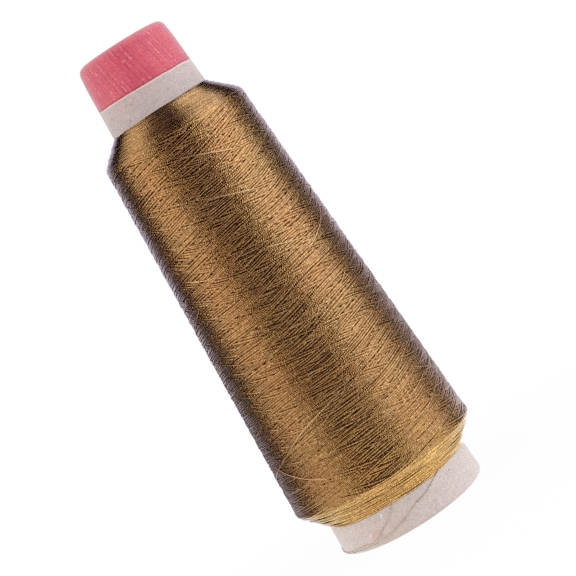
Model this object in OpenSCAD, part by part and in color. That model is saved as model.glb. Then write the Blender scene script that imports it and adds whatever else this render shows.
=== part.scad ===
// Cone of metallic sewing thread on a tapered paper cone.
// The paper cone stands on its base ring at z = 0, with its axis on +Z and its
// nose at the top. The thread is cross-wound over the middle of the cone, and
// both of its ends come out below the winding and are laid round the base.

/* [Paper cone] */
// Height of the paper cone from its base ring to its nose
cone_h = 170; // [170:1:230]
// Outside diameter of the straight taper at the base
base_d = 50.2; // [46:0.1:64]
// Outside diameter of the straight taper at the nose
nose_d = 30.6; // [30:0.1:36]
// Thickness of the inner turn of paper
inner_ply_t = 0.6; // [0.5:0.05:0.7]
// Thickness of the middle turns of paper, glued as one
middle_ply_t = 1.0; // [0.9:0.05:1.1]
// Thickness of the outer turn of paper
outer_ply_t = 0.6; // [0.5:0.05:0.65]

/* [Nose and base rims] */
// Diameter of the round mouth inside the rolled nose
mouth_d = 23; // [18:0.1:23]
// Outer radius of the rolled nose lip
nose_round = 2.6; // [2.5:0.05:2.8]
// How far the nose leans in below the lip
nose_lean = 0.25; // [0.1:0.05:0.3]
// Length over which the nose leans in
nose_lean_h = 8; // [6:0.5:12]
// Rounding of the mouth's edge
mouth_round = 0.4; // [0.1:0.1:0.4]
// Outer radius of the burnished base rim
base_round = 1.5; // [0.8:0.1:1.6]

/* [Dyed nose] */
// Height of the dyed part of the nose
dye_h = 15; // [10:0.5:20]
// Depth that the dye soaks into the paper
dye_t = 0.3; // [0.15:0.05:0.35]

/* [Thread winding] */
// Height above the base where the winding starts
wind_z0 = 10.4; // [9.5:0.1:10.8]
// Height above the base where the winding ends
wind_z1 = 146.7; // [100:0.1:150]
// Depth of thread on the cone
wind_t = 7.25; // [5:0.05:12]
// Rise of the lower shoulder for each millimetre of depth
low_slope = 1.07; // [0.8:0.01:1.4]
// Fall of the upper shoulder for each millimetre of depth
top_slope = 0.98; // [0.8:0.01:1.4]
// Rounding of the lower edge of the winding
low_round = 2.2; // [1:0.1:3]
// Rounding of the upper edge of the winding
top_round = 4; // [2:0.1:4.5]

/* [Thread tails] */
// Diameter of the thread as it lies loose
thread_d = 0.3; // [0.3:0.05:0.5]

/* [Hidden] */
$fn = 96;

wall_t = inner_ply_t + middle_ply_t + outer_ply_t;
taper = (base_d - nose_d) / 2 / cone_h;
mouth_r = mouth_d / 2;
lip_z = cone_h - nose_round;
layer_t = wind_t / 3;

// ---- outline of the paper cone ------------------------------------------
// Outer radius of the straight taper at height z
function cone_r(z) = base_d / 2 - taper * z;

// How far the nose has leaned in at height z
function lean(z) =
    let (s = cone_h - z)
    s >= nose_lean_h ? 0
    : nose_lean * pow((nose_lean_h - s) / (nose_lean_h - nose_round), 2);

// Centre of the lip's roll, as a radius
lip_r = cone_r(lip_z) - nose_lean - nose_round;

// Lowest point of the wall at depth d below its outer face
function foot_z(d) =
    d >= base_round ? 0
    : base_round - sqrt(pow(base_round, 2) - pow(base_round - d, 2));

// The line at depth d below the outer face, from height z0 up over the lip
function wall_line(d, z0, r_end) = concat(
    [[cone_r(z0) - d, z0]],
    [for (i = [0:4])
        let (z = cone_h - nose_lean_h + (nose_lean_h - nose_round) * i / 5)
        [cone_r(z) - lean(z) - d, z]],
    [for (i = [0:8])
        let (a = 90 * i / 8)
        [lip_r + (nose_round - d) * cos(a), lip_z + (nose_round - d) * sin(a)]],
    [[r_end, cone_h - d]]);

function rev(p) = [for (i = [len(p) - 1:-1:0]) p[i]];

// One turn of paper between two depths, from the base ring to the mouth
module ply(d0, d1, mouth) {
    foot = [for (i = [0:6])
        let (d = d1 + (d0 - d1) * i / 6)
        [cone_r(foot_z(d)) - d, foot_z(d)]];
    rotate_extrude()
        polygon(concat(wall_line(d0, foot_z(d0), mouth),
                       rev(wall_line(d1, foot_z(d1), mouth)),
                       [for (i = [1:5]) foot[i]]));
}

// ---- outline of the winding ---------------------------------------------
// Outer radius of the winding at depth d and height z
function wind_r(d, z) = cone_r(z) + d;

// Points that round a corner b between a and c with radius r
function unit(v) = v / norm(v);
function fillet(a, b, c, r) =
    let (u = unit(a - b), v = unit(c - b),
         half = acos(u * v) / 2,
         m = b + unit(u + v) * r / sin(half),
         p0 = b + u * r / tan(half),
         p1 = b + v * r / tan(half),
         a0 = atan2(p0[1] - m[1], p0[0] - m[0]),
         a1r = atan2(p1[1] - m[1], p1[0] - m[0]),
         a1 = a1r - a0 > 180 ? a1r - 360 : a1r - a0 < -180 ? a1r + 360 : a1r)
    [for (i = [0:8]) let (t = a0 + (a1 - a0) * i / 8) m + r * [cos(t), sin(t)]];

function low_pt(d) = let (z = wind_z0 + low_slope * d) [wind_r(d, z), z];
function top_pt(d) = let (z = wind_z1 - top_slope * d) [wind_r(d, z), z];

// A group of layers that lies wholly under the ones above it
module layers(d0, d1) {
    rotate_extrude()
        polygon([low_pt(d0), low_pt(d1), top_pt(d1), top_pt(d0)]);
}

// ---- thread tails --------------------------------------------------------
// Each point is [angle round the cone, height of the thread's middle].
transfer_route = [[-97, 11.4], [-99, 10.6], [-103.5, 8.6], [-107.5, 6.9],
                  [-111, 5.9], [-114.5, 5.1], [-119, 3.8], [-123, 2.7],
                  [-127, 2.2], [-132, 2.05], [-138, 2.1], [-145, 1.85],
                  [-155, 1.35], [-166, 1.1], [-180, 1.3], [-200, 1.8],
                  [-225, 2.1], [-250, 2.0], [-280, 1.8], [-310, 1.5],
                  [-330, 1.3], [-344, 1.5]];
finish_route = [[-56, 11.5], [-58.5, 10.9], [-64.5, 9.7], [-71, 8.5],
                [-77.5, 7.5], [-83.5, 6.9], [-87.5, 6.3], [-92.5, 5.4],
                [-97, 4.6], [-103, 3.7], [-110, 2.8], [-117, 2.1],
                [-124, 1.55], [-132, 1.35], [-139, 1.2], [-147, 1.05],
                [-157, 0.8], [-167, 0.6], [-180, 0.65], [-195, 0.9],
                [-208, 1.2]];

// Middle of a thread that lies on the cone at angle a and height z
function on_cone(a, z) =
    let (q = thread_d / 2,
         s = (base_round - z) / (base_round + q),
         r = z >= base_round ? cone_r(z) + q
             : cone_r(base_round) - base_round + (base_round + q) * sqrt(1 - s * s))
    [r * cos(a), r * sin(a), z];

// A smooth value between b and c, with a and e on either side
function smooth(a, b, c, e, t) =
    0.5 * (2 * b + (c - a) * t + (2 * a - 5 * b + 4 * c - e) * t * t
           + (3 * b - a - 3 * c + e) * t * t * t);

function route_at(p, i, t) =
    let (n = len(p) - 1,
         a = p[max(i - 1, 0)], b = p[i], c = p[min(i + 1, n)], e = p[min(i + 2, n)])
    [smooth(a[0], b[0], c[0], e[0], t), smooth(a[1], b[1], c[1], e[1], t)];

// Rings along a route, a set angle apart at least
function route_points(p, rings) =
    let (n = len(p) - 1,
         a0 = p[0][0], a1 = p[n][0])
    [for (k = [0:rings])
        let (a = a0 + (a1 - a0) * (0.55 * pow(k / rings, 1.6) + 0.45 * k / rings),
             i = max([for (j = [0:n - 1]) if (p[j][0] >= a) j]),
             t = (a - p[i][0]) / (p[i + 1][0] - p[i][0]),
             q = route_at(p, i, t))
        on_cone(q[0], q[1])];

// A round thread swept along a list of points
module strand(pts, d, sides) {
    n = len(pts);
    rings = [for (i = [0:n - 1])
        let (t = unit(pts[min(i + 1, n - 1)] - pts[max(i - 1, 0)]),
             out = unit([pts[i][0], pts[i][1], 0]),
             u = unit(out - (out * t) * t),
             v = cross(t, u))
        [for (k = [0:sides - 1])
            let (w = 360 * k / sides)
            pts[i] + d / 2 * (u * cos(w) + v * sin(w))]];
    verts = [for (r = rings) for (p = r) p];
    body_faces = [for (i = [0:n - 2]) for (k = [0:sides - 1])
        let (a = i * sides + k, b = i * sides + (k + 1) % sides)
        each [[a, a + sides, b], [b, a + sides, b + sides]]];
    polyhedron(points = verts,
        faces = concat(body_faces,
            [[for (k = [0:sides - 1]) k]],
            [[for (k = [sides - 1:-1:0]) (n - 1) * sides + k]]));
}

// ---- the pieces ----------------------------------------------------------
module cone_inner_ply() {
    color([0.78, 0.73, 0.70])
        ply(outer_ply_t + middle_ply_t, wall_t, mouth_r + dye_t);
}

module cone_middle_plies() {
    color([0.70, 0.65, 0.61])
        ply(outer_ply_t, outer_ply_t + middle_ply_t, mouth_r + dye_t);
}

// The outer turn thins to make room for the dyed layer at the nose
module cone_outer_ply() {
    color([0.82, 0.76, 0.75])
        rotate_extrude()
            polygon(concat(
                [for (i = [0:6])
                    let (d = outer_ply_t * (1 - i / 6))
                    [cone_r(foot_z(d)) - d, foot_z(d)]],
                [[cone_r(cone_h - dye_h), cone_h - dye_h]],
                wall_line(dye_t, cone_h - dye_h, mouth_r + dye_t),
                rev([for (i = [1:15]) wall_line(outer_ply_t, 0, mouth_r + dye_t)[i]])));
}

module nose_dyed_layer() {
    color([0.87, 0.33, 0.43])
        rotate_extrude()
            polygon(concat(
                wall_line(0, cone_h - dye_h, mouth_r + mouth_round),
                [for (i = [1:4])
                    let (a = 90 + 90 * i / 4)
                    [mouth_r + mouth_round + mouth_round * cos(a),
                     cone_h - mouth_round + mouth_round * sin(a)]],
                [[mouth_r, cone_h - wall_t], [mouth_r + dye_t, cone_h - wall_t]],
                rev(wall_line(dye_t, cone_h - dye_h, mouth_r + dye_t))));
}

module thread_first_layers() {
    color([0.45, 0.32, 0.14]) layers(0, layer_t);
}

module thread_middle_layers() {
    color([0.55, 0.39, 0.17]) layers(layer_t, 2 * layer_t);
}

module thread_outer_layers() {
    low = fillet(low_pt(2 * layer_t), low_pt(wind_t), top_pt(wind_t), low_round);
    top = fillet(low_pt(wind_t), top_pt(wind_t), top_pt(2 * layer_t), top_round);
    color([0.64, 0.46, 0.20])
        rotate_extrude()
            polygon(concat([low_pt(2 * layer_t)], low, top, [top_pt(2 * layer_t)]));
}

module transfer_tail() {
    color([0.60, 0.42, 0.20]) strand(route_points(transfer_route, 78), thread_d, 8);
}

module finish_tail() {
    color([0.60, 0.42, 0.20]) strand(route_points(finish_route, 44), thread_d, 8);
}

cone_inner_ply();
cone_middle_plies();
cone_outer_ply();
nose_dyed_layer();
thread_first_layers();
thread_middle_layers();
thread_outer_layers();
transfer_tail();
finish_tail();
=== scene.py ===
import math

import bpy
import numpy as np
from mathutils import Matrix, Vector


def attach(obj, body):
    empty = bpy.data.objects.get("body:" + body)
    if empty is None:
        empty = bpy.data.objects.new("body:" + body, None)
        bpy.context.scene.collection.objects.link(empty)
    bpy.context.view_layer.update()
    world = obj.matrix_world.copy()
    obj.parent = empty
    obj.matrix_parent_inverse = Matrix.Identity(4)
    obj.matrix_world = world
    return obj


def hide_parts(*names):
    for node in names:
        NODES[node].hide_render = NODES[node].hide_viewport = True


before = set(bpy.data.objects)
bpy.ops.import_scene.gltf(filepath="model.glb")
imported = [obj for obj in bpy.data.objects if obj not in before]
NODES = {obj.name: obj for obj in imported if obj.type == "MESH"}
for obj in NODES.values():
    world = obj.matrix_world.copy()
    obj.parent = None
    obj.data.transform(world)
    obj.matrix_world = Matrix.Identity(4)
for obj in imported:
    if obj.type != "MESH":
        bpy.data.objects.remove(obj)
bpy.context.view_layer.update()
MM = 0.001
RNG = np.random.default_rng(20417)

# ---------------------------------------------------------------- dimensions
# The same numbers, in millimetres, as the CAD source.
CONE_H, BASE_D, NOSE_D = 170.0, 50.2, 30.6
INNER_T, MIDDLE_T, OUTER_T = 0.6, 1.0, 0.6
WALL_T = INNER_T + MIDDLE_T + OUTER_T
MOUTH_R, MOUTH_ROUND = 11.5, 0.4
NOSE_ROUND, NOSE_LEAN, NOSE_LEAN_H = 2.6, 0.25, 8.0
BASE_ROUND = 1.5
DYE_H, DYE_T = 15.0, 0.3
WIND_Z0, WIND_Z1, WIND_T = 10.4, 146.7, 7.25
LOW_SLOPE, TOP_SLOPE, LOW_ROUND, TOP_ROUND = 1.07, 0.98, 2.2, 4.0
THREAD_D = 0.3
TAPER = (BASE_D - NOSE_D) / 2 / CONE_H
LIP_Z = CONE_H - NOSE_ROUND


def cone_r(z):
    return BASE_D / 2 - TAPER * z


def lean(z):
    s = CONE_H - z
    return np.where(
        s >= NOSE_LEAN_H,
        0.0,
        NOSE_LEAN * ((NOSE_LEAN_H - s) / (NOSE_LEAN_H - NOSE_ROUND)) ** 2,
    )


LIP_R = cone_r(LIP_Z) - NOSE_LEAN - NOSE_ROUND


# -------------------------------------------------------------------- camera
CAM_AT = np.array([0.0, -609.7, 133.0])
CAM_TO = np.array([4.0, 0.0, 79.6])
CAM_ROLL = math.radians(32.3)


def make_camera():
    data = bpy.data.cameras.new("camera")
    data.sensor_width = 36.0
    data.lens = 124.06
    data.clip_start, data.clip_end = 0.05, 20.0
    cam = bpy.data.objects.new("camera", data)
    bpy.context.scene.collection.objects.link(cam)
    w = CAM_TO - CAM_AT
    w /= np.linalg.norm(w)
    r = np.cross(w, [0, 0, 1.0])
    r /= np.linalg.norm(r)
    u = np.cross(r, w)
    c, s = math.cos(CAM_ROLL), math.sin(CAM_ROLL)
    right, up, back = r * c - u * s, r * s + u * c, -w
    m = Matrix.Identity(4)
    for i in range(3):
        m[i][0], m[i][1], m[i][2] = right[i], up[i], back[i]
        m[i][3] = CAM_AT[i] * MM
    cam.matrix_world = m
    bpy.context.scene.camera = cam
    return cam


make_camera()


# ------------------------------------------------------------- thread tails
TRANSFER_ROUTE = [
    (-97, 11.4), (-99, 10.6), (-103.5, 8.6), (-107.5, 6.9), (-111, 5.9),
    (-114.5, 5.1), (-119, 3.8), (-123, 2.7), (-127, 2.2), (-132, 2.05),
    (-138, 2.1), (-145, 1.85), (-155, 1.35), (-166, 1.1), (-180, 1.3),
    (-200, 1.8), (-225, 2.1), (-250, 2.0), (-280, 1.8), (-310, 1.5),
    (-330, 1.3), (-344, 1.5),
]
FINISH_ROUTE = [
    (-56, 11.5), (-58.5, 10.9), (-64.5, 9.7), (-71, 8.5), (-77.5, 7.5),
    (-83.5, 6.9), (-87.5, 6.3), (-92.5, 5.4), (-97, 4.6), (-103, 3.7),
    (-110, 2.8), (-117, 2.1), (-124, 1.55), (-132, 1.35), (-139, 1.2),
    (-147, 1.05), (-157, 0.8), (-167, 0.6), (-180, 0.65), (-195, 0.9),
    (-208, 1.2),
]


def smooth(a, b, c, e, t):
    return 0.5 * (
        2 * b + (c - a) * t + (2 * a - 5 * b + 4 * c - e) * t * t
        + (3 * b - a - 3 * c + e) * t * t * t
    )


def on_cone(a, z):
    q = THREAD_D / 2
    if z >= BASE_ROUND:
        r = cone_r(z) + q
    else:
        s = (BASE_ROUND - z) / (BASE_ROUND + q)
        r = cone_r(BASE_ROUND) - BASE_ROUND + (BASE_ROUND + q) * math.sqrt(1 - s * s)
    a = math.radians(a)
    return (r * math.cos(a) * MM, r * math.sin(a) * MM, z * MM)


def route_points(route, step):
    """Points along a route, a set number of millimetres apart or less."""
    out = []
    n = len(route) - 1
    for i in range(n):
        p = [route[max(i - 1, 0)], route[i], route[i + 1], route[min(i + 2, n)]]
        k = max(2, int(math.ceil(abs(p[2][0] - p[1][0]) * math.radians(25) / step)))
        for j in range(k):
            t = j / k
            out.append(on_cone(*(smooth(p[0][c], p[1][c], p[2][c], p[3][c], t) for c in (0, 1))))
    out.append(on_cone(*route[-1]))
    return out


def make_tail(name, route, node):
    """A loose thread end: a round core with a ridge of foil wound round it."""
    pts = route_points(route, 0.11)
    line = np.array(pts)
    along = np.gradient(line, axis=0)
    along /= np.linalg.norm(along, axis=1)[:, None]
    out = line * [1, 1, 0]
    u = out - (out * along).sum(1)[:, None] * along
    u /= np.linalg.norm(u, axis=1)[:, None]
    v = np.cross(along, u)
    s = np.concatenate([[0], np.cumsum(np.linalg.norm(np.diff(line, axis=0), axis=1))]) / MM
    sides, n = 10, len(line)
    w = 2 * np.pi * np.arange(sides) / sides
    ridge = 0.5 + 0.5 * np.cos(w[None, :] - 2 * np.pi * s[:, None] / 0.9)
    r = THREAD_D / 2 * MM * (0.86 + 0.14 * ridge)
    ring = u[:, None, :] * (r * np.cos(w))[:, :, None] + v[:, None, :] * (r * np.sin(w))[:, :, None]
    co = (line[:, None, :] + ring).reshape(-1, 3)
    faces = [
        (a + k, a + (k + 1) % sides, a + sides + (k + 1) % sides, a + sides + k)
        for a in range(0, (n - 1) * sides, sides) for k in range(sides)
    ]
    faces += [tuple(range(sides - 1, -1, -1)), tuple(range((n - 1) * sides, n * sides))]
    me = bpy.data.meshes.new(name)
    me.from_pydata(co.tolist(), [], faces)
    me.polygons.foreach_set("use_smooth", np.ones(len(faces), bool))
    me.update()
    ob = bpy.data.objects.new(name, me)
    bpy.context.scene.collection.objects.link(ob)
    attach(ob, "root")
    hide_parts(node)
    return ob


transfer_tail = make_tail("transfer_tail_thread", TRANSFER_ROUTE, "transfer_tail")
finish_tail = make_tail("finish_tail_thread", FINISH_ROUTE, "finish_tail")


# ---------------------------------------------------------------- node tools
class Graph:
    """A short way to write a material's nodes."""

    def __init__(self, name):
        self.mat = bpy.data.materials.new(name)
        self.mat.use_nodes = True
        self.tree = self.mat.node_tree
        self.tree.nodes.clear()

    def add(self, kind, inputs=None, **attrs):
        node = self.tree.nodes.new(kind)
        for k, v in attrs.items():
            setattr(node, k, v)
        for k, v in (inputs or {}).items():
            self.put(node, k, v)
        return node

    def put(self, node, key, value):
        socket = node.inputs[key]
        if isinstance(value, bpy.types.NodeSocket):
            self.tree.links.new(value, socket)
        else:
            socket.default_value = value

    def math(self, op, a, b=None, c=None, clamp=False):
        node = self.tree.nodes.new("ShaderNodeMath")
        node.operation = op
        node.use_clamp = clamp
        for i, v in enumerate((a, b, c)):
            if v is not None:
                self.put(node, i, v)
        return node.outputs[0]

    def mix(self, fac, a, b, blend="MIX"):
        node = self.tree.nodes.new("ShaderNodeMix")
        node.data_type = "RGBA"
        node.blend_type = blend
        node.clamp_factor = True
        for i, v in ((0, fac), (6, a), (7, b)):
            if isinstance(v, bpy.types.NodeSocket):
                self.tree.links.new(v, node.inputs[i])
            else:
                node.inputs[i].default_value = (*v, 1.0) if isinstance(v, tuple) and len(v) == 3 else v
        return node.outputs[2]

    def range(self, v, lo, hi, to_lo=0.0, to_hi=1.0, smooth=False):
        node = self.add("ShaderNodeMapRange", {0: v, 1: lo, 2: hi, 3: to_lo, 4: to_hi})
        if smooth:
            node.interpolation_type = "SMOOTHSTEP"
        return node.outputs[0]

    def noise(self, vec, scale, detail=3.0, rough=0.55, dim="3D"):
        node = self.add("ShaderNodeTexNoise", {"Scale": scale, "Detail": detail, "Roughness": rough})
        node.noise_dimensions = dim
        self.tree.links.new(vec, node.inputs["Vector"])
        return node.outputs["Fac"]

    def out(self, shader):
        node = self.tree.nodes.new("ShaderNodeOutputMaterial")
        self.tree.links.new(shader, node.inputs["Surface"])
        return self.mat


def wear(ob, mat):
    ob.data.materials.clear()
    ob.data.materials.append(mat)


def dress_node(name, mat):
    """Puts a material on a CAD node without touching its mesh."""
    ob = NODES[name]
    if not ob.material_slots:
        ob.data.materials.append(mat)
    for s in ob.material_slots:
        s.material = mat
    return ob


# ------------------------------------------------------------------- paper
def shade(c, r, g=None, b=None):
    return (c[0] * r, c[1] * (r if g is None else g), c[2] * (r if b is None else b))


def curls(g, vec, scale, distortion, width, offset):
    """Thin curly lines, as of single fibres."""
    at = g.add("ShaderNodeVectorMath", {0: vec, 1: (offset, 0.3 * offset, 0.7 * offset)}, operation="ADD").outputs[0]
    n = g.add("ShaderNodeTexNoise", {"Vector": at, "Scale": scale, "Detail": 1.0, "Distortion": distortion})
    off = g.math("ABSOLUTE", g.math("SUBTRACT", n.outputs["Fac"], 0.5))
    return g.range(off, 0.0, width, 1.0, 0.0)


# marks seen on the outer paper: azimuth, height, radius in mm, colour, strength
MARKS = [
    (-111.2, 8.9, 0.48, (0.93, 0.93, 0.98), 0.65),
    (-112.4, 8.2, 0.40, (0.90, 0.90, 0.96), 0.50),
    (-117.4, 3.1, 0.30, (0.10, 0.05, 0.06), 0.9),
    (-121.5, 0.9, 0.35, (0.16, 0.10, 0.10), 0.6),
    (-84.8, 6.8, 0.50, (0.62, 0.20, 0.26), 0.5),
    (-94.5, 5.9, 0.80, (0.60, 0.33, 0.31), 0.3),
    (-65.0, 4.0, 1.0, (0.70, 0.38, 0.40), 0.35),
    (-120.5, 4.4, 1.8, (0.62, 0.33, 0.28), 0.45),
    (-125.0, 3.3, 1.5, (0.60, 0.32, 0.27), 0.40),
    (-116.0, 1.8, 3.2, (0.52, 0.38, 0.31), 0.35),
    (-104.0, 3.2, 5.0, (0.55, 0.43, 0.36), 0.30),
    (-135.5, 7.9, 0.45, (0.34, 0.28, 0.30), 0.45),
    (-90.7, 8.2, 0.30, (0.30, 0.27, 0.32), 0.5),
    (-114.0, 152.5, 0.45, (0.62, 0.16, 0.20), 0.6),
    (-112.5, 152.2, 0.35, (0.62, 0.16, 0.20), 0.6),
    (-125.2, 152.8, 0.50, (0.66, 0.28, 0.30), 0.5),
    (-90.6, 151.2, 0.28, (0.20, 0.16, 0.17), 0.6),
    (-91.5, 149.0, 0.28, (0.24, 0.16, 0.18), 0.55),
    (-123.5, 148.2, 0.35, (0.14, 0.12, 0.14), 0.7),
    (-53.9, 148.0, 0.35, (0.14, 0.11, 0.15), 0.7),
    (-71.3, 150.3, 0.30, (0.22, 0.20, 0.24), 0.6),
    (-96.5, 164.2, 0.40, (0.82, 0.36, 0.42), 0.5),
    (-101.0, 161.0, 0.30, (0.80, 0.32, 0.38), 0.4),
    (-58.0, 168.0, 0.45, (0.86, 0.55, 0.50), 0.6),
]


def paper_material(name, tint, outer=False):
    """Grey board of mixed fibres. The outer turn has its marks, and red dye soaked into its nose."""
    g = Graph(name)
    tc = g.add("ShaderNodeTexCoord").outputs["Object"]
    sep = g.add("ShaderNodeSeparateXYZ", {0: tc})
    z = sep.outputs[2]
    blot = g.noise(tc, 620.0, 3.0, 0.6)
    cloud = g.noise(tc, 190.0, 3.0)
    fine = g.noise(tc, 2600.0, 2.0, 0.6)
    base = g.mix(g.range(blot, 0.36, 0.64), shade(tint, 0.94, 0.95, 0.98), shade(tint, 1.05, 1.03, 1.00))
    base = g.mix(g.math("MULTIPLY", g.range(cloud, 0.35, 0.65), 0.7), base, shade(tint, 1.06))
    flake = g.noise(tc, 430.0, 2.0)
    base = g.mix(g.math("MULTIPLY", g.range(flake, 0.52, 0.66), 0.45), base, shade(tint, 1.20, 1.18, 1.20))
    mottle = g.noise(tc, 1150.0, 2.0, 0.6)
    base = g.mix(g.math("MULTIPLY", g.range(mottle, 0.56, 0.36), 0.20), base, shade(tint, 0.70, 0.70, 0.75))
    base = g.mix(g.math("MULTIPLY", g.range(mottle, 0.50, 0.68), 0.22), base, shade(tint, 1.30, 1.27, 1.24))
    base = g.mix(g.math("MULTIPLY", g.range(fine, 0.56, 0.38), 0.09), base, shade(tint, 0.70))
    pale = curls(g, tc, 420.0, 1.6, 0.020, 0.11)
    dark = curls(g, tc, 360.0, 2.2, 0.014, 0.37)
    base = g.mix(g.math("MULTIPLY", pale, 0.70), base, shade(tint, 1.36))
    base = g.mix(g.math("MULTIPLY", dark, 0.58), base, shade(tint, 0.56, 0.54, 0.62))
    specks = g.add("ShaderNodeTexVoronoi", {"Vector": tc, "Scale": 380.0}, feature="F1")
    speck_on = g.range(specks.outputs["Distance"], 0.07, 0.15, 1.0, 0.0)
    few = g.add("ShaderNodeSeparateColor", {0: specks.outputs["Color"]})
    dark_few = g.range(few.outputs[0], 0.90, 0.93)
    red_few = g.range(few.outputs[1], 0.95, 0.97)
    base = g.mix(g.math("MULTIPLY", g.math("MULTIPLY", speck_on, dark_few), 0.55), base, shade(tint, 0.35))
    base = g.mix(g.math("MULTIPLY", g.math("MULTIPLY", speck_on, red_few), 0.5), base, (0.60, 0.22, 0.22))
    colour = base
    rough = 0.86
    if outer:
        # painted shade: the paper above the winding is coloured darker and greyer than below it
        colour = g.mix(g.range(z, 0.060, 0.120), colour, g.mix(1.0, colour, (0.80, 0.79, 0.81), "MULTIPLY"))
        # the board's cut base, a little soiled
        foot = g.math("MULTIPLY", g.range(z, 0.0013, 0.0002), g.range(blot, 0.40, 0.62, 0.15, 0.65))
        colour = g.mix(foot, colour, (0.40, 0.24, 0.22))
        # red dye, dipped a little askew, with a ragged lower edge where it wicked between the fibres
        ang = g.math("ARCTAN2", sep.outputs[1], sep.outputs[0])
        comb = g.add("ShaderNodeCombineXYZ", {0: g.math("MULTIPLY", ang, 0.0145), 1: 0.0, 2: z}).outputs[0]
        streaks = g.add("ShaderNodeMapping", {"Vector": comb, "Scale": (1.0, 1.0, 0.06)}).outputs[0]
        wick = g.noise(streaks, 1500.0, 2.0, 0.6)
        wander = g.noise(comb, 160.0, 2.0)
        line = g.math("ADD", g.math("MULTIPLY", g.math("SUBTRACT", wick, 0.5), 0.00055),
                      g.math("MULTIPLY", g.math("SUBTRACT", wander, 0.5), 0.00050))
        askew = g.math("MULTIPLY_ADD", sep.outputs[0], 0.021, z)
        h = g.math("ADD", g.math("SUBTRACT", askew, (CONE_H - DYE_H + 0.18) * MM), line)
        dye = g.range(h, -0.00009, 0.00011, smooth=True)
        red = g.mix(g.range(cloud, 0.40, 0.60), (0.575, 0.056, 0.114), (0.630, 0.072, 0.108))
        red = g.mix(g.math("MULTIPLY", g.range(blot, 0.42, 0.62), 0.35), red, (0.620, 0.100, 0.150))
        red = g.mix(g.math("MULTIPLY", g.range(fine, 0.56, 0.38), 0.30), red, (0.36, 0.028, 0.055))
        # pale dots in slanting rows, where the former's ribs rubbed
        u = g.math("MULTIPLY_ADD", z, 0.21, g.math("MULTIPLY", ang, 0.0145))
        rows = g.add("ShaderNodeTexNoise", {"W": g.math("MULTIPLY", u, 1250.0), "Scale": 1.0, "Detail": 0.0}, noise_dimensions="1D")
        row = g.range(rows.outputs["Fac"], 0.48, 0.66)
        dots = g.add("ShaderNodeTexNoise", {
            "Vector": g.add("ShaderNodeCombineXYZ", {0: g.math("MULTIPLY", u, 1250.0), 1: g.math("MULTIPLY", z, 1400.0), 2: 0.0}).outputs[0],
            "Scale": 1.0, "Detail": 0.0}).outputs["Fac"]
        dotted = g.math("MULTIPLY", row, g.range(dots, 0.40, 0.64))
        dotted = g.math("MULTIPLY", dotted, g.range(g.noise(comb, 230.0, 1.0), 0.42, 0.55))
        red = g.mix(g.math("MULTIPLY", dotted, 0.44), red, (0.78, 0.27, 0.35))
        # painted shade beside the rows of pale dots
        shadow = g.math("MULTIPLY", g.range(rows.outputs["Fac"], 0.50, 0.36), g.range(dots, 0.60, 0.40))
        red = g.mix(g.math("MULTIPLY", shadow, 0.55), red, (0.40, 0.028, 0.065))
        # paler at the rounded lip: partly rubbed paper, partly a painted sheen
        lip_rub_and_sheen = g.range(g.math("SUBTRACT", z, (CONE_H - 2.6) * MM), 0.0, 0.0024)
        red = g.mix(g.math("MULTIPLY", lip_rub_and_sheen, 0.30), red, (0.78, 0.27, 0.33))
        rim = g.range(g.math("ABSOLUTE", g.math("SUBTRACT", h, 0.00028)), 0.00005, 0.00042, 1.0, 0.0)
        red = g.mix(g.math("MULTIPLY", rim, 0.85), red, (0.43, 0.024, 0.046))
        # pale line just under the dye
        bare = g.range(g.math("ABSOLUTE", g.math("ADD", h, 0.00026)), 0.00005, 0.00030, 1.0, 0.0)
        colour = g.mix(g.math("MULTIPLY", bare, 0.45), colour, (0.86, 0.70, 0.62))
        haze = g.range(h, -0.0085, 0.0, 0.02, 0.10)
        colour = g.mix(haze, colour, (0.70, 0.36, 0.38))
        colour = g.mix(dye, colour, red)
        for a, height, radius, tone, strength in MARKS:
            a = math.radians(a)
            r = cone_r(height)
            at = (r * math.cos(a) * MM, r * math.sin(a) * MM, height * MM)
            d = g.add("ShaderNodeVectorMath", {0: tc, 1: at}, operation="DISTANCE").outputs["Value"]
            d = g.math("MULTIPLY_ADD", g.math("SUBTRACT", blot, 0.5), radius * 0.9 * MM, d)
            mark = g.range(d, radius * 0.35 * MM, radius * MM, strength, 0.0, smooth=True)
            colour = g.mix(mark, colour, tone)
        rough = g.range(dye, 0.0, 1.0, 0.84, 0.50)
        # painted shade in reflections: to glossy rays the outer paper is coloured near black, so the foil mirrors the
        # nose only dimly
        mirrored = g.add("ShaderNodeLightPath").outputs["Is Glossy Ray"]
        colour = g.mix(g.math("MULTIPLY", mirrored, 0.62), colour, (0.02, 0.02, 0.02))
    bump_in = g.math("ADD", g.math("MULTIPLY", fine, 0.6), g.math("MULTIPLY", pale, 0.25))
    bump = g.add("ShaderNodeBump", {"Strength": 0.24, "Distance": 0.00010, "Height": bump_in}).outputs[0]
    p = g.add("ShaderNodeBsdfPrincipled", {"Base Color": colour, "Roughness": rough, "Normal": bump})
    p.inputs["Specular IOR Level"].default_value = 0.35
    p.inputs["Sheen Weight"].default_value = 0.65
    p.inputs["Sheen Roughness"].default_value = 0.5
    return g.out(p.outputs[0])


PAPER = (0.575, 0.482, 0.452)
paper_outer = paper_material("paper_outer", PAPER, outer=True)
paper_core = paper_material("paper_core", (0.50, 0.43, 0.40))
paper_inner = paper_material("paper_inner", (0.56, 0.49, 0.46))
dress_node("cone_inner_ply", paper_inner)
dress_node("cone_middle_plies", paper_core)
dress_node("cone_outer_ply", paper_outer)
dress_node("nose_dyed_layer", paper_outer)


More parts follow.
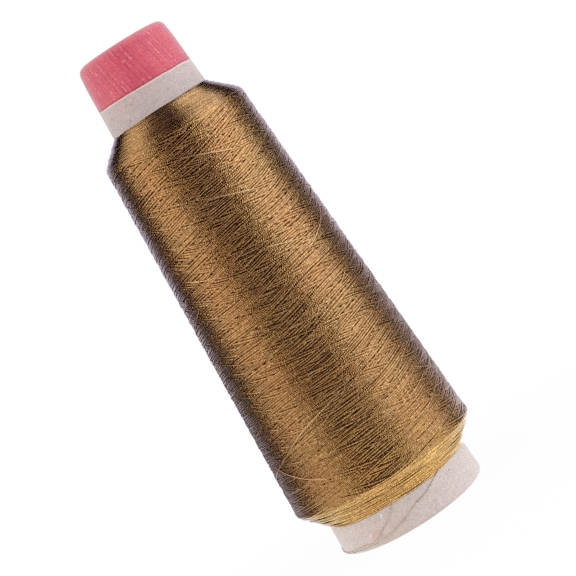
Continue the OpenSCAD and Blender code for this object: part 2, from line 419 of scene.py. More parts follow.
# ----------------------------------------------------------------- winding
# Every turn that can be seen is a thread of its own. The covers are laid one
# stroke after another on a height map of what lies below, as the winder lays
# them: a taut thread bridges from one high spot to the next.
THREAD_R = 0.135          # half the thickness of a thread pressed down by its tension
THREAD_W = 0.42           # half its width
CONTACT_R = 0.052         # how close two crossing threads press together
PITCH = 0.72              # between neighbouring threads of one cover
TURN = 31.0               # rise for each turn round the cone
SIDES = 6


def unit(v):
    return v / np.linalg.norm(v)


def fillet(a, b, c, r, steps=10):
    u, v = unit(a - b), unit(c - b)
    half = math.acos(float(u @ v)) / 2
    m = b + unit(u + v) * r / math.sin(half)
    p0, p1 = b + u * r / math.tan(half), b + v * r / math.tan(half)
    a0 = math.atan2(*(p0 - m)[::-1])
    a1 = math.atan2(*(p1 - m)[::-1])
    if a1 - a0 > math.pi:
        a1 -= 2 * math.pi
    if a1 - a0 < -math.pi:
        a1 += 2 * math.pi
    t = np.linspace(a0, a1, steps)
    return m + r * np.stack([np.cos(t), np.sin(t)], 1)


def low_pt(d):
    z = WIND_Z0 + LOW_SLOPE * d
    return np.array([cone_r(z) + d, z])


def top_pt(d):
    z = WIND_Z1 - TOP_SLOPE * d
    return np.array([cone_r(z) + d, z])


def resample(p, step):
    s = np.concatenate([[0], np.cumsum(np.linalg.norm(np.diff(p, axis=0), axis=1))])
    t = np.linspace(0, s[-1], max(2, int(s[-1] / step) + 1))
    return np.stack([np.interp(t, s, p[:, 0]), np.interp(t, s, p[:, 1])], 1)


OUTLINE = resample(np.vstack([
    [low_pt(0)],
    fillet(low_pt(0), low_pt(WIND_T), top_pt(WIND_T), LOW_ROUND),
    fillet(low_pt(WIND_T), top_pt(WIND_T), top_pt(0), TOP_ROUND),
    [top_pt(0)],
]), 0.15)
_t = np.gradient(OUTLINE, axis=0)
_t /= np.linalg.norm(_t, axis=1)[:, None]
OUTLINE_N = np.stack([_t[:, 1], -_t[:, 0]], 1)      # points out of the winding


def bed_line(inset):
    """The outline moved in, as heights and depths on the cone."""
    p = OUTLINE - OUTLINE_N * inset
    return p[:, 1], p[:, 0] - cone_r(p[:, 1])


def bed_depth(z, inset):
    hz, hd = bed_line(inset)
    keep = np.concatenate([[True], np.diff(np.maximum.accumulate(hz)) > 1e-6])
    return np.interp(z, hz[keep], hd[keep], left=0, right=0)


class Bundle:
    """Many threads in one mesh."""

    def __init__(self, name):
        self.name = name
        self.co, self.faces, self.uv, self.bake, self.tone = [], [], [], [], []
        self.caps = []
        self.n = 0
        self.rows = []

    def lay(self, pts, up, scale, tone, sides=SIDES, phase=0.0, flat=1.0):
        """pts and up are (n, 3), in millimetres."""
        n = len(pts)
        t = np.gradient(pts, axis=0)
        t /= np.linalg.norm(t, axis=1)[:, None]
        u = up - (up * t).sum(1)[:, None] * t
        u /= np.linalg.norm(u, axis=1)[:, None]
        v = np.cross(t, u)
        w = 2 * np.pi * np.arange(sides) / sides + phase
        ring = u[:, None, :] * (THREAD_R * flat * np.cos(w))[None, :, None] + v[:, None, :] * (THREAD_W * np.sin(w))[None, :, None]
        co = pts[:, None, :] + ring * scale
        self.co.append(co.reshape(-1, 3))
        i = np.arange(n - 1)[:, None] * sides
        k = np.arange(sides)[None, :]
        k2 = (k + 1) % sides
        quads = np.stack([i + k, i + sides + k, i + sides + k2, i + k2], -1).reshape(-1, 4)[:, ::-1]
        self.faces.append(quads + self.n)
        s = np.concatenate([[0], np.cumsum(np.linalg.norm(np.diff(pts, axis=0), axis=1))])
        s0, s1 = s[:-1][:, None] + 0 * k, s[1:][:, None] + 0 * k
        v0, v1 = (k + 0 * i / sides) / sides, (k + 1 + 0 * i / sides) / sides
        uv = np.stack([
            np.stack([s0, v0], -1), np.stack([s1, v0], -1),
            np.stack([s1, v1], -1), np.stack([s0, v1], -1)], 2)[:, :, ::-1]
        self.uv.append(uv.reshape(-1, 2))
        row = len(self.rows)
        self.rows.append(s[-1])
        self.bake.append(np.full(uv.shape[0] * uv.shape[1] * 4, row))
        self.caps.append((self.n, self.n + (n - 1) * sides, sides, s[-1], row))
        self.tone.append(np.full(n * sides, tone))
        self.n += n * sides

    def build(self):
        co = np.concatenate(self.co) * MM
        quads = np.concatenate(self.faces)
        uv = np.concatenate(self.uv)
        row = np.concatenate(self.bake)
        loops = [quads.reshape(-1)]
        starts = [np.arange(len(quads)) * 4]
        totals = [np.full(len(quads), 4)]
        at = len(quads) * 4
        uvs, rows = [uv], [row]
        for a, b, sides, length, r in self.caps:
            loops += [np.arange(a, a + sides), np.arange(b + sides - 1, b - 1, -1)]
            starts += [[at], [at + sides]]
            totals += [[sides], [sides]]
            at += 2 * sides
            half = np.stack([np.zeros(sides), (np.arange(sides) + 0.5) / sides], 1)
            uvs += [half, half + [length, 0]]
            rows += [np.full(2 * sides, r)]
        loops = np.concatenate(loops).astype(np.int32)
        starts = np.concatenate(starts).astype(np.int32)
        totals = np.concatenate(totals).astype(np.int32)
        uv, row = np.concatenate(uvs), np.concatenate(rows)
        me = bpy.data.meshes.new(self.name)
        me.vertices.add(len(co))
        me.vertices.foreach_set("co", co.astype(np.float32).ravel())
        me.loops.add(len(loops))
        me.loops.foreach_set("vertex_index", loops)
        me.polygons.add(len(starts))
        me.polygons.foreach_set("loop_start", starts)
        me.polygons.foreach_set("use_smooth", np.ones(len(starts), bool))
        lay = me.uv_layers.new(name="Thread")
        lay.data.foreach_set("uv", uv.astype(np.float32).ravel())
        longest = max(self.rows)
        count = len(self.rows)
        flat = np.stack([0.002 + 0.996 * uv[:, 0] / longest, (row + 0.1 + 0.8 * uv[:, 1]) / count], 1)
        lay = me.uv_layers.new(name="OFBake")
        lay.data.foreach_set("uv", flat.astype(np.float32).ravel())
        att = me.attributes.new("tone", "FLOAT", "POINT")
        att.data.foreach_set("value", np.concatenate(self.tone).astype(np.float32))
        me.update(calc_edges=True)
        me.validate()
        ob = bpy.data.objects.new(self.name, me)
        bpy.context.scene.collection.objects.link(ob)
        return ob


# how far the winding sits off the cone's axis, from base to nose
def off_axis(z):
    return -0.28 + 0.61 * (z - 24.0) / 113.0


# the traverse isn't quite even: these carry neighbouring strokes with them
def drift_of(seed):
    rng = np.random.default_rng(seed)
    waves = [
        (n, rng.uniform(0.02, 0.11) * rng.choice([-1, 1]), rng.uniform(0, 6.28), rng.uniform(0.5, 1.0))
        for n in (1, 1, 2, 2, 3, 3, 4, 5)
    ]
    total = math.sqrt(sum(w[3] ** 2 for w in waves) / 2)

    def drift(theta, z):
        return sum(a * np.sin(n * theta + f * z + p) for n, f, p, a in waves) / total
    return drift


DRIFTS = (drift_of(11), drift_of(12))


def polar(theta, depth, z):
    """Points and outward directions for angles, depths on the cone and heights."""
    r = cone_r(z) + depth
    c, s = np.cos(theta), np.sin(theta)
    pts = np.stack([r * c + off_axis(z), r * s, z + 0 * r], 1)
    up = np.stack([c, s, np.full_like(c, TAPER)], 1)
    return pts, up


def stroke_path(theta0, z_low, z_high, bend_low, bend_high, tail=1.25):
    """One stroke of the traverse, with the turn round at each end, as angle and height.

    It rises with the angle, and would be at height 0 at theta0. bend_* are the
    radii of the turn round."""
    rise = TURN / (2 * math.pi)
    kl = (cone_r(z_low) + 6.9) ** 2 / (2 * bend_low)
    kh = (cone_r(z_high) + 6.9) ** 2 / (2 * bend_high)
    tl, th = rise / (2 * kl), rise / (2 * kh)
    zl, zh = z_low + kl * tl * tl, z_high - kh * th * th
    run = (zh - zl) / rise
    t_end = tl + run + th
    t = np.arange(-tail * tl, t_end + tail * th, 0.15 / 28.0)
    z = np.where(
        t < tl, z_low + kl * t * t,
        np.where(t < tl + run, zl + rise * (t - tl), z_high - kh * (t - t_end) ** 2),
    )
    return t + theta0 + zl / rise - tl, z


def taut(h, s, curve):
    """The line that a stretched thread takes over supports of height h."""
    ds = np.diff(s, prepend=s[0])
    bow = np.cumsum(np.cumsum(curve * ds) * ds)
    y = (h - bow).tolist()
    x = s.tolist()
    hx, hy = [], []
    for a, b in zip(x, y):
        while len(hx) > 1 and (hy[-1] - hy[-2]) * (a - hx[-2]) <= (b - hy[-2]) * (hx[-1] - hx[-2]):
            hx.pop()
            hy.pop()
        hx.append(a)
        hy.append(b)
    return np.interp(s, hx, hy) + bow


GRID_T, GRID_Z, Z_LO = 1200, 1060, 15.0
CELL_Z = 0.12
ACROSS = np.array([-0.24, -0.12, 0.0, 0.12, 0.24])
ARCH = CONTACT_R * np.sqrt(1 - (ACROSS / 0.29) ** 2)


class Bed:
    """Height map of the winding so far, as depth on the cone."""

    def __init__(self, inset):
        z = Z_LO + CELL_Z * np.arange(GRID_Z)
        self.h = np.repeat(bed_depth(z, inset)[None, :], GRID_T, 0).ravel()

    def cells(self, theta, z):
        i = np.rint(theta / (2 * np.pi) * GRID_T).astype(int) % GRID_T
        j = np.clip(np.rint((z[:, None] + ACROSS - Z_LO) / CELL_Z).astype(int), 0, GRID_Z - 1)
        return i[:, None] * GRID_Z + j

    def put(self, theta, z, grown):
        """Lays a thread, and gives the depth of its middle. It can't climb past the outline."""
        cells = self.cells(theta, z)
        need = (self.h[cells] + ARCH).max(1)
        need = np.minimum(need, bed_depth(z, BED_INSET - grown) + 0.10)
        r = cone_r(z) + 7.0
        s = np.concatenate([[0], np.cumsum(r[1:] * np.diff(theta))])
        c = taut(need, s, 0.96 / r)
        c = need + (c - need) * TENSION
        np.maximum.at(self.h, cells, c[:, None] + ARCH)
        return c


def wobble(theta, size):
    out = np.zeros_like(theta)
    for f, a in ((0.5, 1.0), (1.3, 0.6), (3.1, 0.35), (7.3, 0.16)):
        out += a * np.sin(theta * f * RNG.uniform(0.8, 1.25) + RNG.uniform(0, 6.28))
    return out * size


COVERS = 86               # strokes each way that are modelled
ARMS = 5                  # strokes before one lies next to an earlier one
PIECES = 7
BED_INSET = 0.75
TENSION = 0.22            # 1 bridges every hollow, 0 follows what lies below
bed = Bed(BED_INSET)
grown = 0.0
bundles = [Bundle(f"cover_turns_{i + 1}") for i in range(PIECES)]
golden = (math.sqrt(5) - 1) / 2
laid = []
order = RNG.normal(0, 12.0, 2 * COVERS) + np.arange(2 * COVERS) + np.where(np.arange(2 * COVERS) % 2 == 0, 24.0, 0.0)
for k in np.argsort(order):
    rising = k % 2 == 0
    j = k // 2
    built = k / (2 * COVERS - 1)
    z_low = 17.3 + 1.5 * built + RNG.normal(0, 0.25)
    z_high = 140.3 - 1.7 * built - RNG.normal(0, 0.3)
    step = (2 * j % ARMS) / ARMS + j / ARMS * PITCH / TURN + (0.0 if rising else 0.37)
    turn_at = 2 * math.pi * step + RNG.normal(0, 0.022)
    theta, z = stroke_path(0.0, z_low, z_high, 62 * RNG.uniform(0.8, 1.25), 60 * RNG.uniform(0.8, 1.25))
    z = z + wobble(theta, 0.085)
    theta = (theta if rising else -theta[::-1]) + turn_at
    if not rising:
        z = z[::-1]
    inside = np.clip((z - z.min()) / 12, 0, 1) * np.clip((z.max() - z) / 12, 0, 1)
    z = z + 0.42 * inside * DRIFTS[k % 2](theta, z)
    c = bed.put(theta, z, grown)
    body = (z > 40) & (z < 120)
    grown = max(grown, float(c[body].mean()) - (WIND_T - BED_INSET))
    laid.append((theta, z, c, rising))

top_now = bed.h.reshape(GRID_T, GRID_Z)
mid = slice(int((40 - Z_LO) / CELL_Z), int((120 - Z_LO) / CELL_Z))
grown = float(top_now[:, mid].mean())
lift = WIND_T + 0.02 - (grown + THREAD_R - CONTACT_R)
for k, (theta, z, c, rising) in enumerate(laid):
    c = c + lift
    n = len(c)
    dive = np.minimum(np.arange(n), np.arange(n)[::-1]) * 0.15
    c = c - 0.7 * np.clip(1 - dive / 5.0, 0, 1) ** 2
    pick = np.arange(0, n, 10)
    pts, up = polar(theta[pick], c[pick], z[pick])
    scale = RNG.uniform(0.95, 1.06)
    bundles[k * PIECES // (2 * COVERS)].lay(pts, up, scale, RNG.uniform(0, 1), phase=math.pi / 2, flat=0.82)

# a few strands that slipped out of line while the cone was handled, as azimuth and height
STRAYS = [
    [(-192, 28.6), (-176, 31.3), (-161, 34.5), (-147, 37.4), (-136.7, 39.6), (-128, 41.8), (-121, 43.3), (-107, 45.6), (-95, 47.3), (-80, 49.6)],
    [(-168, 38.6), (-151, 33.4), (-141, 31.1), (-133, 29.3), (-120, 27.0)],
    [(-104, 118.6), (-95.7, 116.9), (-84.5, 114.8), (-73.5, 113.0), (-60, 111.0)],
    [(-99, 131.6), (-85.5, 129.2), (-69, 126.2), (-54, 124.0)],
    [(-20, 96.0), (-34, 92.2), (-48, 89.4), (-60, 87.4)],
    [(40, 66.0), (70, 72.0), (100, 77.0), (128, 81.0)],
]
for _ in range(110):
    rise = math.tan(math.radians(RNG.choice([RNG.uniform(4, 26), -RNG.uniform(2, 18)], p=[0.65, 0.35])))
    a0, z0, run = RNG.uniform(-180, 180), RNG.uniform(27, 132), RNG.uniform(18, 56)
    sag = RNG.normal(0, 0.5)
    route = [(a0 + run * f, z0 + math.radians(run * f) * 28 * rise + sag * math.sin(math.pi * f)) for f in (0, 0.25, 0.5, 0.75, 1)]
    if 26 < route[-1][1] < 134:
        STRAYS.append(route)
for k, route in enumerate(STRAYS):
    way = np.array(route, float)
    along = np.linspace(0, len(way) - 1, 40)
    a = np.radians(np.interp(along, np.arange(len(way)), way[:, 0]))
    z = np.interp(along, np.arange(len(way)), way[:, 1])
    for _ in range(3):
        a[1:-1], z[1:-1] = (a[:-2] + a[1:-1] + a[2:]) / 3, (z[:-2] + z[1:-1] + z[2:]) / 3
    ease = np.clip(np.minimum(np.arange(40), np.arange(40)[::-1]) / 6.0, 0, 1)
    pts, up = polar(a, WIND_T + 0.05 - 0.35 * (1 - ease) ** 2, z)
    seen = k < 6
    # a tone below 0 colours a stray lighter: a painted highlight
    bundles[k % PIECES].lay(pts, up, 0.62 if seen else RNG.uniform(0.40, 0.56), -1.0 if seen else RNG.uniform(-1.0, 0.4),
                            phase=math.pi / 2, flat=1.6 if seen else 1.3)

# the shoulders: the turn-rounds of every deeper layer
ends = [Bundle("shoulder_turns_first"), Bundle("shoulder_turns_middle"), Bundle("shoulder_turns_outer")]
for side in (-1, 1):
    LEVELS = 12 if side < 0 else 20
    for level in range(LEVELS):
        d = 0.15 + (WIND_T - 0.8) * (level + RNG.uniform(-0.25, 0.25)) / (LEVELS - 1)
        near = OUTLINE[:, 1] > 60 if side < 0 else OUTLINE[:, 1] < 60
        at = np.argmin(np.abs((OUTLINE[:, 0] - cone_r(OUTLINE[:, 1])) - d) + 50 * near)
        p = OUTLINE[at] - OUTLINE_N[at] * (THREAD_R + 0.02)
        dc, zc = p[0] - cone_r(p[1]), p[1]
        count = int(2 * math.pi * p[0] / (8.5 if side < 0 else 6.5))
        start = RNG.uniform(0, 6.28)
        for i in range(count):
            bend = RNG.uniform(90, 200)
            t = np.linspace(-16.0, 16.0, 24) / p[0]
            a = start + 2 * math.pi * i * golden + RNG.normal(0, 0.05)
            z = zc + RNG.normal(0, 0.09) - side * (t * p[0]) ** 2 / (2 * bend)
            z = z + RNG.normal(0, 0.010) * t * p[0]
            depth = np.full_like(t, max(dc + RNG.normal(0, 0.07), THREAD_R))
            pts, up = polar(a + t, depth, z)
            group = int(np.clip(d / (WIND_T / 3), 0, 2))
            # a tone above 1 on the first turns at the nose end colours them dark: painted shade in the corner with
            # the paper
            tone_and_corner_shade = 1.6 - 0.3 * level if side > 0 and level < 3 else RNG.uniform(0, 1)
            ends[group].lay(pts, up, RNG.uniform(0.95, 1.05), tone_and_corner_shade, phase=math.pi / 2, flat=0.74 if side < 0 else 0.6)


def bed_mesh(name, poly):
    """A closed ring from an outline of (radius, height) points."""
    seg = 240
    me = bpy.data.meshes.new(name)
    n = len(poly)
    a = 2 * np.pi * np.arange(seg) / seg
    x = poly[None, :, 0] * np.cos(a)[:, None]
    y = poly[None, :, 0] * np.sin(a)[:, None]
    zz = np.repeat(poly[None, :, 1], seg, 0)
    co = np.stack([x + off_axis(zz), y, zz], -1).reshape(-1, 3) * MM
    i = np.arange(seg)[:, None]
    j = np.arange(n)[None, :]
    i2, j2 = (i + 1) % seg, (j + 1) % n
    quads = np.stack([i * n + j, i2 * n + j, i2 * n + j2, i * n + j2], -1).reshape(-1, 4)
    me.from_pydata(co.tolist(), [], quads.tolist())
    me.polygons.foreach_set("use_smooth", np.ones(len(quads), bool))
    uv = np.stack([
        np.stack([i / seg + 0 * j, j / n + 0 * i], -1), np.stack([(i + 1) / seg + 0 * j, j / n + 0 * i], -1),
        np.stack([(i + 1) / seg + 0 * j, (j + 1) / n + 0 * i], -1), np.stack([i / seg + 0 * j, (j + 1) / n + 0 * i], -1)], 2)
    lay = me.uv_layers.new(name="OFBake")
    lay.data.foreach_set("uv", (0.002 + 0.996 * uv).astype(np.float32).ravel())
    me.update()
    ob = bpy.data.objects.new(name, me)
    bpy.context.scene.collection.objects.link(ob)
    return ob


def below(d0, d1, inset):
    """Outline of the turns between two depths, with its shoulders moved in."""
    def low(d):
        return low_pt(d) + np.array([0.0, inset * 1.3])

    def top(d):
        return top_pt(d) - np.array([0.0, inset * 1.35])
    side_l = np.linspace(d0, d1, 9)
    left = np.array([low(d) for d in side_l])
    right = np.array([top(d) for d in side_l[::-1]])
    wall_o = np.stack([np.linspace(left[-1][0], right[0][0], 60), np.linspace(left[-1][1], right[0][1], 60)], 1)[1:-1]
    wall_i = np.stack([np.linspace(right[-1][0], left[0][0], 60), np.linspace(right[-1][1], left[0][1], 60)], 1)[1:-1]
    return np.vstack([left, wall_o, right, wall_i])


core = [
    bed_mesh("turns_below_first", below(0.02, WIND_T / 3, 0.45)),
    bed_mesh("turns_below_middle", below(WIND_T / 3, 2 * WIND_T / 3, 0.45)),
    bed_mesh("turns_below_outer", below(2 * WIND_T / 3, WIND_T - 0.85, 0.45)),
]


# ------------------------------------------------------------------- thread
WRAP = 0.62               # millimetres of thread for each wrap of foil


def thread_material(name, relief, rough):
    """Gold foil wound round a dark core: it shines on each wrap, and the core shows between."""
    g = Graph(name)
    uv = g.add("ShaderNodeUVMap", uv_map="Thread").outputs[0]
    tone = g.add("ShaderNodeAttribute", attribute_name="tone").outputs["Fac"]
    sep = g.add("ShaderNodeSeparateXYZ", {0: uv})
    along, around = sep.outputs[0], sep.outputs[1]
    comb = g.add("ShaderNodeCombineXYZ", {0: along, 1: g.math("MULTIPLY", tone, 97.0), 2: 0.0}).outputs[0]
    patch = g.noise(comb, 0.35, 2.0)
    loose = g.noise(comb, 0.55, 1.0)
    wrap = g.math("ADD", g.math("MULTIPLY_ADD", along, 1.0 / WRAP, g.math("MULTIPLY", loose, 2.5)), around)
    wave = g.math("SINE", g.math("MULTIPLY", wrap, 2 * math.pi))
    colour = g.mix(g.range(patch, 0.3, 0.7), (0.515, 0.249, 0.088), (0.625, 0.321, 0.118))
    colour = g.mix(g.math("MULTIPLY", tone, 0.42), colour, (0.41, 0.193, 0.068))
    # painted highlight: slack strands (tone below 0) are coloured a lighter gold, as if their foil turned to the
    # light
    colour = g.mix(g.range(tone, 0.0, -1.0, 0.0, 0.7), colour, (0.90, 0.60, 0.32))
    # painted shade: the first turns at the nose end lie in the corner with the paper and are coloured dark as if
    # shadowed
    colour = g.mix(g.range(tone, 1.05, 2.0, 0.0, 0.9), colour, (0.13, 0.065, 0.040))
    # the metal's tint drifts a little over the winding
    drift = g.noise(g.add("ShaderNodeTexCoord").outputs["Object"], 48.0, 1.0)
    drift = g.mix(g.range(drift, 0.38, 0.62), (1.03, 0.975, 0.95), (0.98, 1.025, 1.0))
    colour = g.mix(1.0, colour, drift, "MULTIPLY")
    dull = g.noise(comb, 0.16, 1.0)
    colour = g.mix(g.range(dull, 0.46, 0.34, 0.0, 0.36), colour, (0.30, 0.138, 0.046))
    gap = g.range(wave, -0.75, 0.15, 1.0, 0.0, smooth=True)
    colour = g.mix(g.math("MULTIPLY", gap, 0.48), colour, (0.20, 0.086, 0.027))
    # painted glints and painted shade: bright and dark flecks along the foil's colour, with a matching bump
    fleck = g.noise(comb, 2.3, 1.0)
    colour = g.mix(g.range(fleck, 0.48, 0.34, 0.0, 0.40), colour, (0.22, 0.095, 0.029))
    colour = g.mix(g.range(fleck, 0.52, 0.68, 0.0, 0.55), colour, (0.90, 0.54, 0.245))
    height = g.math("MULTIPLY_ADD", fleck, 5.0, wave)
    bump = g.add("ShaderNodeBump", {"Strength": relief, "Distance": 0.000020, "Height": height}).outputs[0]
    p = g.add("ShaderNodeBsdfPrincipled", {"Base Color": colour, "Metallic": 1.0, "Roughness": rough, "Normal": bump})
    p.inputs["Coat Weight"].default_value = 0.6        # the clear film over the foil
    p.inputs["Coat Roughness"].default_value = 0.14
    return g.out(p.outputs[0])


# painted shade: the turns below the cover are coloured darker than the foil on top, for their depth
def bed_material(name):
    g = Graph(name)
    tc = g.add("ShaderNodeTexCoord").outputs["Object"]
    m = g.add("ShaderNodeMapping", {"Vector": tc, "Scale": (0.05, 0.05, 1.0)}).outputs[0]
    lines = g.noise(m, 3000.0, 2.0)
    colour = g.mix(g.range(lines, 0.35, 0.65), (0.24, 0.125, 0.055), (0.46, 0.26, 0.115))
    bump = g.add("ShaderNodeBump", {"Strength": 0.6, "Distance": 0.0002, "Height": lines}).outputs[0]
    p = g.add("ShaderNodeBsdfPrincipled", {"Base Color": colour, "Metallic": 0.6, "Roughness": 0.5, "Normal": bump})
    return g.out(p.outputs[0])


def loose_material(name):
    """The same thread lying slack: the wraps have opened, and the brown core shows more."""
    g = Graph(name)
    tc = g.add("ShaderNodeTexCoord").outputs["Object"]
    n = g.noise(tc, 1700.0, 2.0)
    m = g.noise(tc, 260.0, 1.0)
    colour = g.mix(g.range(n, 0.38, 0.62), (0.38, 0.27, 0.20), (0.63, 0.49, 0.39))
    colour = g.mix(g.math("MULTIPLY", g.range(m, 0.42, 0.58), 0.8), colour, (0.64, 0.54, 0.49))
    # paler where it has rubbed along the rim
    x = g.add("ShaderNodeSeparateXYZ", {0: tc}).outputs[0]
    colour = g.mix(g.range(x, -0.008, -0.017, 0.0, 0.6), colour, (0.66, 0.57, 0.53))
    bump = g.add("ShaderNodeBump", {"Strength": 0.6, "Distance": 0.00005, "Height": n}).outputs[0]
    p = g.add("ShaderNodeBsdfPrincipled", {"Base Color": colour, "Metallic": 0.25, "Roughness": 0.5, "Normal": bump})
    return g.out(p.outputs[0])


gold = thread_material("gold_thread", 0.63, 0.21)
gold_ends = thread_material("gold_thread_shoulders", 0.38, 0.21)
deep = bed_material("gold_thread_below")
for b in bundles:
    ob = b.build()
    wear(ob, gold)
    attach(ob, "root")
    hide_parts("thread_outer_layers")
SLOTS = ("thread_first", "thread_middle", "thread_outer")
for b, node, slot in zip(ends, ("thread_first_layers", "thread_middle_layers", "thread_outer_layers"), SLOTS):
    ob = b.build()
    wear(ob, gold_ends)
    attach(ob, "root")
    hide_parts(node)
for ob, node, slot in zip(core, ("thread_first_layers", "thread_middle_layers", "thread_outer_layers"), SLOTS):
    wear(ob, deep)
    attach(ob, "root")
    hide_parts(node)
loose = loose_material("gold_thread_loose")
for ob in (transfer_tail, finish_tail):
    wear(ob, loose)


# ------------------------------------------------------------ floor, light
def make_floor():
    """A pale floor that fades into the white round it."""
    rings, seg = [0.0, 0.05, 0.1, 0.2, 0.4, 0.8, 1.6, 3.2], 96
    verts, faces = [(0.0, 0.0, 0.0)], []
    for r in rings[1:]:
        verts += [(r * math.cos(2 * math.pi * i / seg), r * math.sin(2 * math.pi * i / seg), 0.0) for i in range(seg)]
    faces += [(0, 1 + i, 1 + (i + 1) % seg) for i in range(seg)]
    for k in range(len(rings) - 2):
        a, b = 1 + k * seg, 1 + (k + 1) * seg
        faces += [(a + i, b + i, b + (i + 1) % seg, a + (i + 1) % seg) for i in range(seg)]
    me = bpy.data.meshes.new("floor")
    me.from_pydata(verts, [], faces)
    ob = bpy.data.objects.new("floor", me)
    bpy.context.scene.collection.objects.link(ob)
    g = Graph("floor")
    tc = g.add("ShaderNodeTexCoord").outputs["Object"]
    dist = g.add("ShaderNodeVectorMath", {0: tc}, operation="LENGTH").outputs["Value"]
    grain = g.noise(tc, 60.0, 3.0)
    tint = g.mix(g.range(grain, 0.3, 0.7), (0.90, 0.90, 0.90), (0.93, 0.93, 0.93))
    card = g.add("ShaderNodeBsdfPrincipled", {"Base Color": tint, "Roughness": 0.9})
    card.inputs["Specular IOR Level"].default_value = 0.1
    glow = g.add("ShaderNodeEmission", {"Color": (1, 1, 1, 1), "Strength": 1.0})
    fade = g.range(dist, 0.026, 0.12, 0.95, 1.0, smooth=True)
    m = g.add("ShaderNodeMixShader", {0: fade})
    g.tree.links.new(card.outputs[0], m.inputs[1])
    g.tree.links.new(glow.outputs[0], m.inputs[2])
    # painted reflection: to glossy rays the floor glows, brightest towards the two softboxes
    sep = g.add("ShaderNodeSeparateXYZ", {0: tc})
    aside = g.math("MULTIPLY", g.math("ABSOLUTE", sep.outputs[0]), 0.906)
    towards = g.math("DIVIDE", g.math("MULTIPLY_ADD", sep.outputs[1], -0.423, aside), g.math("MAXIMUM", dist, 0.001))
    lobe = g.range(towards, 0.76, 0.99, smooth=True)
    near = g.range(dist, 0.04, 0.10, 1.92, 0.13, smooth=True)
    flank = g.math("DIVIDE", g.math("ABSOLUTE", sep.outputs[0]), g.math("MAXIMUM", dist, 0.001))
    near = g.math("MULTIPLY", near, g.range(flank, 0.45, 0.95, 1.0, 0.72, smooth=True))
    lean = g.math("DIVIDE", sep.outputs[0], g.math("MAXIMUM", dist, 0.001))
    near = g.math("MULTIPLY", near, g.range(lean, -0.6, 0.6, 0.93, 1.10, smooth=True))
    behind = g.range(g.math("DIVIDE", sep.outputs[1], g.math("MAXIMUM", dist, 0.001)), 0.15, 0.60, smooth=True)
    right = g.range(g.math("DIVIDE", sep.outputs[0], g.math("MAXIMUM", dist, 0.001)), -0.2, 0.6, 0.10, 0.75, smooth=True)
    rear = g.math("MULTIPLY", g.math("MULTIPLY", behind, right), g.range(dist, 0.12, 0.45, 1.0, 0.35))
    level = g.math("MULTIPLY_ADD", lobe, g.range(sep.outputs[0], -0.01, 0.01, 0.38, 0.52), near)
    rear = g.math("MULTIPLY_ADD", behind, g.range(dist, 0.05, 0.22, 0.26, 0.0, smooth=True), rear)
    level = g.math("ADD", level, rear)
    ahead = g.range(g.math("DIVIDE", sep.outputs[1], g.math("MAXIMUM", dist, 0.001)), -0.80, -0.98, smooth=True)
    level = g.math("MULTIPLY_ADD", ahead, g.range(dist, 0.05, 0.12, 0.0, 0.40, smooth=True), level)
    shade_of = g.mix(g.range(dist, 0.05, 0.11), (0.93, 1.0, 0.74), (1.0, 0.97, 0.94))
    shade_of = g.mix(behind, shade_of, (0.88, 0.88, 1.0))
    dim = g.add("ShaderNodeEmission", {"Color": shade_of, "Strength": level})
    path = g.add("ShaderNodeLightPath")
    m2 = g.add("ShaderNodeMixShader", {0: path.outputs["Is Glossy Ray"]})
    g.tree.links.new(m.outputs[0], m2.inputs[1])
    g.tree.links.new(dim.outputs[0], m2.inputs[2])
    g.mat.cycles.emission_sampling = "NONE"
    wear(ob, g.out(m2.outputs[0]))
    return ob


floor = make_floor()


def make_world(fill, shine):
    """White to the eye. fill lights matt surfaces, shine is what gloss sees."""
    world = bpy.data.worlds.new("world")
    bpy.context.scene.world = world
    world.use_nodes = True
    tree = world.node_tree
    tree.nodes.clear()
    path = tree.nodes.new("ShaderNodeLightPath")
    out = tree.nodes.new("ShaderNodeOutputWorld")

    def background(colour, strength):
        n = tree.nodes.new("ShaderNodeBackground")
        n.inputs[0].default_value = (*colour, 1)
        n.inputs[1].default_value = strength
        return n.outputs[0]

    def mix(fac, a, b):
        n = tree.nodes.new("ShaderNodeMixShader")
        tree.links.new(fac, n.inputs[0])
        tree.links.new(a, n.inputs[1])
        tree.links.new(b, n.inputs[2])
        return n.outputs[0]

    soft = background((1.0, 0.99, 0.98), fill)
    gloss = background((0.30, 0.30, 1.0), shine)
    seen = background((1, 1, 1), 1.0)
    lit = mix(path.outputs["Is Glossy Ray"], soft, gloss)
    tree.links.new(mix(path.outputs["Is Camera Ray"], lit, seen), out.inputs[0])


def panel(name, at, size, radiance, colour, towards):
    data = bpy.data.lights.new(name, "AREA")
    data.shape = "RECTANGLE"
    data.size, data.size_y = size
    data.energy = radiance * math.pi * size[0] * size[1]
    data.color = colour
    ob = bpy.data.objects.new(name, data)
    ob.location = at
    ob.rotation_euler = (Vector(towards) - Vector(at)).to_track_quat("-Z", "Y").to_euler()
    ob.visible_camera = False
    bpy.context.scene.collection.objects.link(ob)
    return ob


def softbox(name, azimuth, distance, height, size, radiance, colour):
    """An upright lit panel that faces the cone. Azimuth is from the camera, to the right."""
    a = math.radians(azimuth - 90)
    at = (distance * math.cos(a), distance * math.sin(a), height)
    return panel(name, at, size, radiance, colour, (0, 0, height))


make_world(fill=0.56, shine=0.035)
softbox("softbox_left", -72, 0.7, 0.51, (0.76, 0.98), 1.09, (1.0, 0.97, 0.84))
softbox("softbox_right", 62.5, 0.7, 0.51, (0.87, 0.98), 1.59, (0.905, 0.98, 1.0))
front = softbox("front_fill", 0, 0.9, 0.15, (0.7, 0.24), 0.2, (1.0, 0.97, 0.94))
front.visible_diffuse = False
softbox("backdrop_light", 180, 0.9, 0.26, (1.5, 0.52), 0.92, (0.76, 0.74, 1.0))
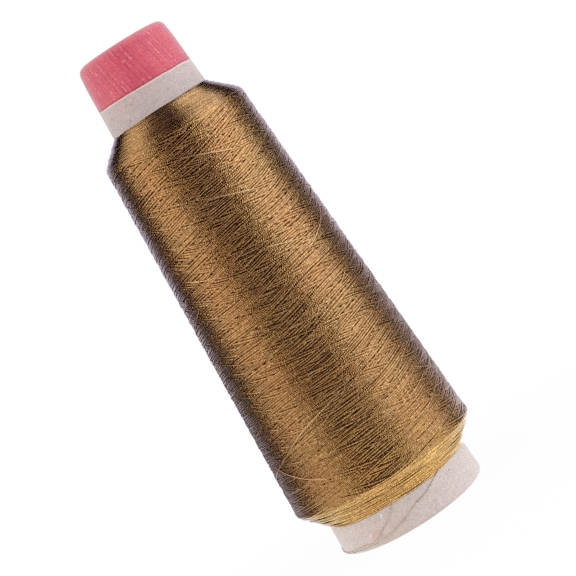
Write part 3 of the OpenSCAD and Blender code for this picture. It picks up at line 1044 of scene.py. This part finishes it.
# the panels overhead leave a slot between them, over the camera's line of sight
for side, radiance, tint, back in ((-1, 1.02, (1.0, 0.93, 0.78), 0.62), (1, 1.17, (0.96, 1.0, 0.96), 0.76)):
    mid_y = (back - 0.36) / 2
    over = panel(f"overhead_{'left' if side < 0 else 'right'}", (side * 0.595, mid_y, 0.86), (0.79, back + 0.36),
                 radiance, tint, (side * 0.595, mid_y, 0.0))
    over.visible_diffuse = False
# white cards at the sides, which only lift the paper
for side, radiance, tint in ((-1, 1.25, (0.97, 0.97, 1.0)), (1, 1.40, (0.86, 0.90, 1.0))):
    card = softbox(f"side_card_{'left' if side < 0 else 'right'}", side * 85, 0.8, 0.30, (0.5, 0.8), radiance, tint)
    card.visible_glossy = False

bpy.context.scene.view_settings.view_transform = "Standard"


def sharpen(dark, light):
    """The light sharpening of a product photograph, on brightness only; its colour is a little softer
    than its detail. It is stronger in the darks: dark is its amount at black, and light the brightness
    where it ends."""
    bpy.context.scene.use_nodes = True
    tree = bpy.context.scene.node_tree
    tree.nodes.clear()

    def node(kind, *inputs, **attrs):
        n = tree.nodes.new(kind)
        for k, v in attrs.items():
            setattr(n, k, v)
        for i, v in inputs:
            if isinstance(v, bpy.types.NodeSocket):
                tree.links.new(v, n.inputs[i])
            else:
                n.inputs[i].default_value = v
        return n

    shot = node("CompositorNodeRLayers").outputs["Image"]
    toned = node("CompositorNodeGamma", ("Image", shot), ("Gamma", 1 / 2.2)).outputs[0]
    grey = node("CompositorNodeRGBToBW", (0, toned)).outputs[0]
    soft = node("CompositorNodeFilter", ("Image", grey), filter_type="SOFTEN").outputs[0]
    edge = node("CompositorNodeMath", (0, grey), (1, soft), operation="SUBTRACT").outputs[0]
    hue = node("CompositorNodeFilter", ("Image", toned), filter_type="SOFTEN").outputs[0]
    hue = node("CompositorNodeFilter", ("Image", hue), filter_type="SOFTEN").outputs[0]
    flat = node("CompositorNodeRGBToBW", (0, hue)).outputs[0]
    fine = node("CompositorNodeMath", (0, grey), (1, flat), operation="SUBTRACT").outputs[0]
    toned = node("CompositorNodeMixRGB", (0, 1.0), (1, hue), (2, fine), blend_type="ADD").outputs[0]
    share = node("CompositorNodeMath", (0, soft), (1, -dark / light), operation="MULTIPLY").outputs[0]
    amount = node("CompositorNodeMath", (0, share), (1, dark), operation="ADD", use_clamp=True).outputs[0]
    crisp = node("CompositorNodeMixRGB", (0, amount), (1, toned), (2, edge), blend_type="ADD").outputs[0]
    back = node("CompositorNodeGamma", ("Image", crisp), ("Gamma", 2.2)).outputs[0]
    node("CompositorNodeComposite", ("Image", back))


sharpen(0.80, 0.74)
bpy.context.scene.cycles.use_denoising = False     # it would smooth the threads away


bpy.context.view_layer.update()
